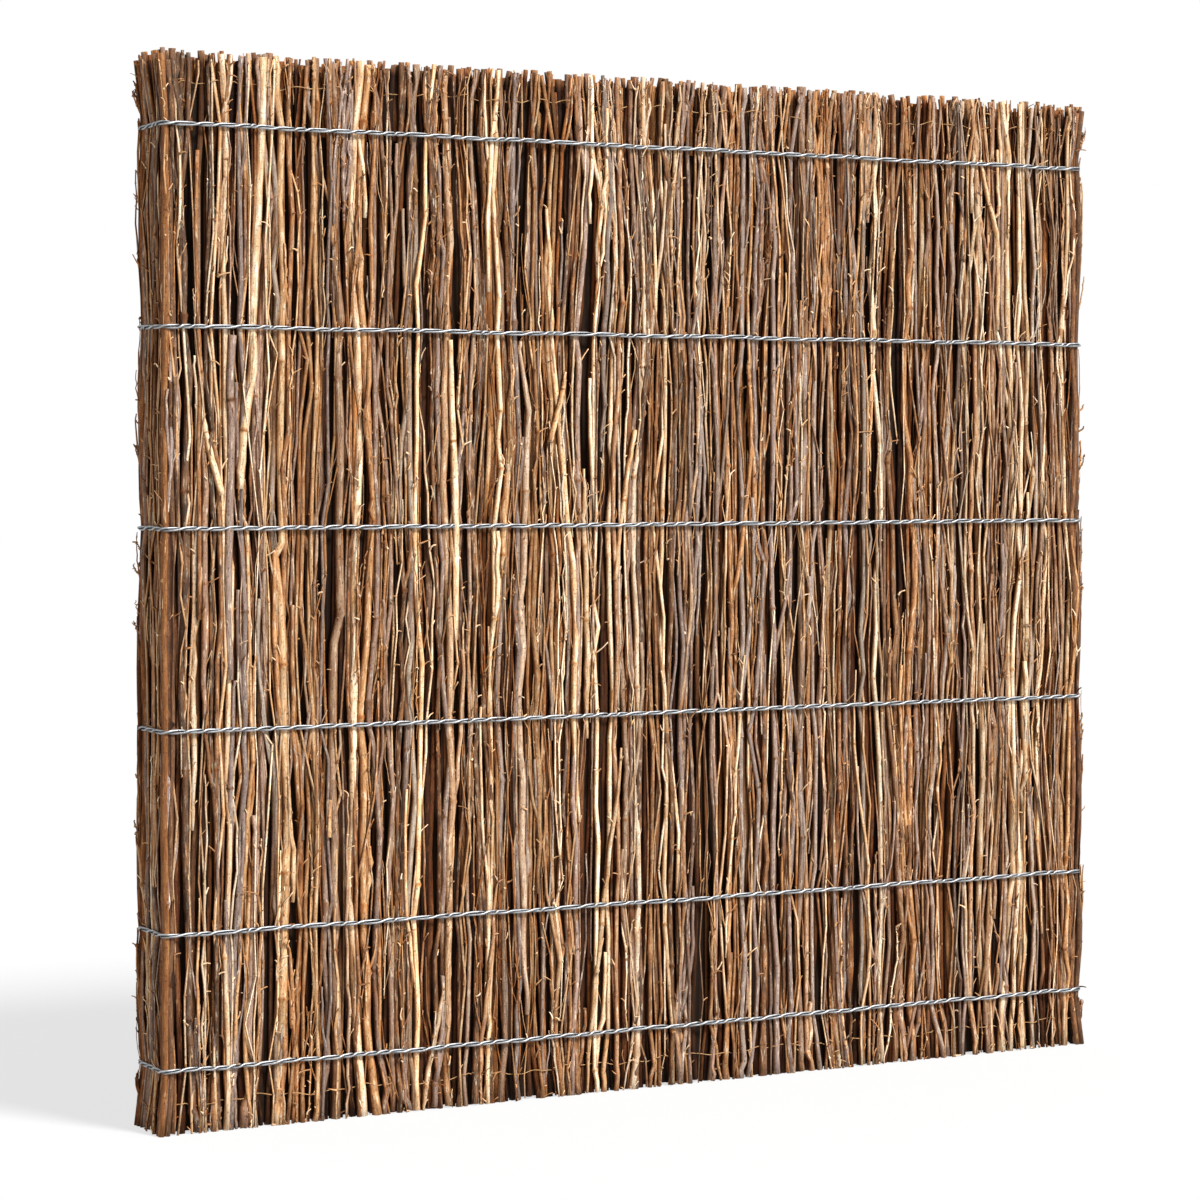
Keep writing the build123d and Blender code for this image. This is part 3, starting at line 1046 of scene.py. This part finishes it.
coreForm = {"inset": 0.0155, "foot": 0.004, "underTop": 0.05}


def coreOf(index):
    # closed prism: the profile (depth over height, splayed at both ends) carried along X
    inset = coreForm["inset"]
    left = -halfWidth + index * slotWidth
    right = left + slotWidth
    left = left + inset if index == 0 else left
    right = right - inset if index == len(handfulNames) - 1 else right
    top = panelHeight - coreForm["underTop"]
    heights = np.array([coreForm["foot"], bandHeights[0], bandHeights[-1], top])
    reach = halfDepth - inset + splayAt(heights) * 0.8
    y = np.concatenate([reach, -reach[::-1]])
    z = np.concatenate([heights, heights[::-1]])
    sides = len(y)
    points = np.concatenate([np.stack([np.full(sides, x), y, z], axis=1) for x in (left, right)])
    near = np.arange(sides)
    following = np.roll(near, -1)
    quads = np.stack([near, near + sides, following + sides, following], axis=1)
    loops = np.concatenate([quads.ravel(), near, near[::-1] + sides])
    sizes = np.concatenate([np.full(sides, 4), [sides, sides]])
    return {
        "points": points,
        "loops": loops,
        "sizes": sizes,
        "marks": np.full(len(sizes), 2),
        "maps": np.zeros((len(loops), 2)),
        "tone": np.zeros((len(points), 4)),
    }


triangles = 0
for index, name in enumerate(handfulNames):
    parts = []
    for group in groups:
        mine = group["owner"] == index
        if mine.any():
            parts.append(tubes(
                group["paths"][mine], group["radii"][mine], group["sides"], group["reference"],
                group["tone"][mine], group["shade"][mine], oval=group["oval"][mine],
            ))
    parts.append(coreOf(index))
    triangles += makePiece("brush_" + name[-2:], parts, [bark, cut, core], [name])
print("handfuls made, triangles:", triangles)

# Bands

bandLook = {
    "halfTwists": 128,
    "steps": (0.04, 0.25, 0.41, 0.59, 0.75),  # within a half twist, closest where strands cross
    "offset": 0.0020,
    "crossing": 4.5,
    "sides": 7,
}


def bandCentre(share, inset=0.0013):
    # a rounded rectangle walked by its length: four straight runs and four quarter turns
    radius = cornerRadius + wireSize / 2 + inset
    straightX = 2 * (halfWidth - cornerRadius)
    straightY = 2 * (halfDepth - cornerRadius)
    turn = math.pi / 2 * radius
    lengths = np.array([straightX, turn, straightY, turn, straightX, turn, straightY, turn])
    starts = np.concatenate([[0], np.cumsum(lengths)])
    walk = share % 1 * starts[-1]
    piece = np.clip(np.searchsorted(starts, walk, side="right") - 1, 0, 7)
    along = (walk - starts[piece]) / lengths[piece]
    quarter = piece // 2
    bent = piece % 2 == 1
    heading = quarter * math.pi / 2 + np.where(bent, along * math.pi / 2, 0)
    outward = np.stack([np.sin(heading), -np.cos(heading)], axis=1)
    cornersX = (halfWidth - cornerRadius) * np.array([1, 1, -1, -1])
    cornersY = (halfDepth - cornerRadius) * np.array([-1, 1, 1, -1])
    hub = np.stack([cornersX[quarter], cornersY[quarter]], axis=1)
    startHub = np.stack([np.roll(cornersX, 1)[quarter], np.roll(cornersY, 1)[quarter]], axis=1)
    hub = np.where(bent[:, None], hub, startHub + (hub - startHub) * along[:, None])
    return hub + outward * radius, outward


def strandPaths(height):
    # the two strands lie one above the other and change places at each half twist: the angle
    # steps by pi along a tanh of the place within the half twist
    halves, steep = bandLook["halfTwists"], bandLook["crossing"]
    progress = (np.arange(halves)[:, None] + np.array(bandLook["steps"])).ravel()
    share = progress / halves

    def sway(size, orders):
        # sum of sine waves round the whole band, one for each order
        return sum(
            rng.normal(0, size) * np.sin(2 * np.pi * (order * share + rng.random()))
            for order in orders
        )

    centre, outward = bandCentre(share + sway(0.22, (5, 11, 17, 29, 43)) / halves)
    ripple = sway(0.0004, (3, 7, 13, 23, 41))
    apart = bandLook["offset"] * (1 + sway(0.06, (9, 19, 37, 61, 83)))
    within = progress % 1
    turned = np.pi * (progress - within + 1)
    turned = turned + np.pi / 2 * np.tanh(steep * (within - 0.5)) / math.tanh(steep / 2)
    ringAngle = 2 * np.pi * np.arange(bandLook["sides"]) / bandLook["sides"] + np.pi
    strands = []
    for half in (0, np.pi):
        angle = turned + half
        flat = centre + outward * (apart * np.cos(angle))[:, None]
        z = height + ripple + apart * np.sin(angle)
        path = np.concatenate([flat, z[:, None]], axis=1)
        # painted shade of each strand: 1 on the side away from the other strand, 0 on the side that
        # faces it
        facing = np.cos(ringAngle[None, :] - np.pi / 2 + angle[:, None])
        strands.append((path, 0.5 + 0.5 * facing))
    return strands


triangles = 0
for number, height in enumerate(bandHeights, start=1):
    for side, (path, shade) in zip(("upper", "lower"), strandPaths(height)):
        radii = np.full((1, len(path)), wireSize / 2)
        part = tubes(
            path[None], radii, bandLook["sides"], (0, 0, 1), tonesFor(1), shade[None], closed=True
        )
        node = f"band_{number}_{side}_strand"
        triangles += makePiece(f"wire_{number}_{side}", [part], [zinc], [node])
print("bands made, triangles:", triangles)

# Stitching near both edges: one thin wire that runs in and out between the sticks
stitches = {
    "fromEdge": 0.050, "radius": 0.0008, "pitch": 0.058, "inside": 0.009, "outside": 0.0014,
    "ring": 0.0045, "fromEnd": 0.01,
}


def stitchPath(height, front):
    # s runs along the face, out swings in and out once in each pitch, z drifts a little
    reach = halfWidth - stitches["fromEnd"]
    s = np.linspace(-reach, reach, int(2 * reach / stitches["ring"]))
    phase = 2 * np.pi * s / stitches["pitch"] + 1.6 * np.sin(s * 23) + 0.9 * np.sin(s * 71 + 1)
    swing = stitches["outside"] + stitches["inside"]
    z = height + 0.0030 * np.sin(s * 31 + height) + 0.0022 * np.sin(s * 97) + 0.0014 * np.sin(phase)
    out = swing * np.maximum(np.sin(phase), 0) ** 2.5 - stitches["inside"] + splayAt(z) * 0.9
    return np.stack([s, front * (halfDepth + out), z], axis=1)


triangles = 0
stitchHeights = {"lower": stitches["fromEdge"], "upper": panelHeight - stitches["fromEdge"]}
for name, height in stitchHeights.items():
    parts = []
    for front in (-1, 1):
        wire = stitchPath(height, front)[None]
        radii = np.full(wire.shape[:2], stitches["radius"])
        parts.append(tubes(wire, radii, 5, (0, front, 0), tonesFor(1), np.ones(radii.shape)))
    triangles += makePiece("stitch_" + name, parts, [stitch, stitch], [])
print("stitching made, triangles:", triangles)

# Floor, light and camera

studio = {
    "sunFrom": (0.30, -0.60, 0.74),
    "sunAngle": 14,  # degrees, a large softbox
    "sunStrength": 5.6,
    "ambient": 0.40,
    "floorTone": 0.62,
    "floorLift": 0.985,  # what the camera sees of the floor where nothing shades it
    "floorShare": 0.28,  # how much of the floor's own shading the camera sees
}


def directRays(tree):
    # 1 for what the camera sees directly, in metal or through glass, and 0 for other light
    light = addNode(tree, "LightPath")
    seen = addNode(
        tree, "Math", {"operation": "ADD"},
        {0: (light, "Is Camera Ray"), 1: (light, "Is Glossy Ray")},
    )
    return addNode(
        tree, "Math", {"operation": "ADD", "use_clamp": True},
        {0: (seen, "Value"), 1: (light, "Is Transmission Ray")},
    )


def makeFloor():
    # matt white floor that keeps a light shade of what stands on it
    reach = 40
    mesh = bpy.data.meshes.new("studioFloor")
    corners = [(-reach, -reach, 0), (reach, -reach, 0), (reach, reach, 0), (-reach, reach, 0)]
    mesh.from_pydata(corners, [], [(0, 1, 2, 3)])
    floor = bpy.data.objects.new("studioFloor", mesh)
    bpy.context.scene.collection.objects.link(floor)
    material, tree = newMaterial("palePaintedFloor")
    seen = directRays(tree)
    matte = addNode(tree, "BsdfDiffuse", {"Color": [studio["floorTone"]] * 3 + [1]})
    lift = addNode(tree, "Emission", {"Color": (1, 1, 1, 1), "Strength": studio["floorLift"]})
    share = addNode(tree, "MapRange", {4: 1 - studio["floorShare"]}, {0: (seen, "Value")})
    both = addNode(
        tree, "MixShader", None, {0: (share, "Result"), 1: (matte, "BSDF"), 2: (lift, "Emission")}
    )
    addNode(tree, "OutputMaterial", None, {"Surface": (both, "Shader")})
    mesh.materials.append(material)


def makeWorld():
    # even surroundings, at full white for what the camera sees of them, mirrored or not
    world = bpy.data.worlds.new("studioWorld")
    bpy.context.scene.world = world
    world.use_nodes = True
    tree = world.node_tree
    tree.nodes.clear()
    seen = directRays(tree)
    strength = addNode(tree, "MapRange", {3: studio["ambient"]}, {0: (seen, "Value")})
    sky = addNode(tree, "Background", {"Color": (1, 1, 1, 1)}, {"Strength": (strength, "Result")})
    addNode(tree, "OutputWorld", None, {"Surface": (sky, "Background")})


def makeSun():
    # one large softbox from the front, the right and above
    data = bpy.data.lights.new("keySoftbox", "SUN")
    data.energy = studio["sunStrength"]
    data.angle = math.radians(studio["sunAngle"])
    light = bpy.data.objects.new("keySoftbox", data)
    x, y, z = studio["sunFrom"]
    light.rotation_euler = (math.atan2(math.hypot(x, y), z), 0, math.atan2(y, x) + math.pi / 2)
    bpy.context.scene.collection.objects.link(light)


def makeCamera():
    # a level camera with the horizon shifted up, as in the photograph
    data = bpy.data.cameras.new("photoCamera")
    data.sensor_width = 36
    data.lens = viewFit["focal"] / frameSize * data.sensor_width
    data.shift_y = (viewFit["horizon"] - viewFit["middle"]) / frameSize
    data.clip_end = 200
    camera = bpy.data.objects.new("photoCamera", data)
    camera.location = viewFit["position"]
    camera.rotation_euler = (math.pi / 2, 0, -math.radians(viewFit["heading"]))
    bpy.context.scene.collection.objects.link(camera)
    bpy.context.scene.camera = camera


makeFloor()
makeWorld()
makeSun()
makeCamera()
bpy.context.scene.view_settings.view_transform = "Standard"
print("floor, light and camera ready")
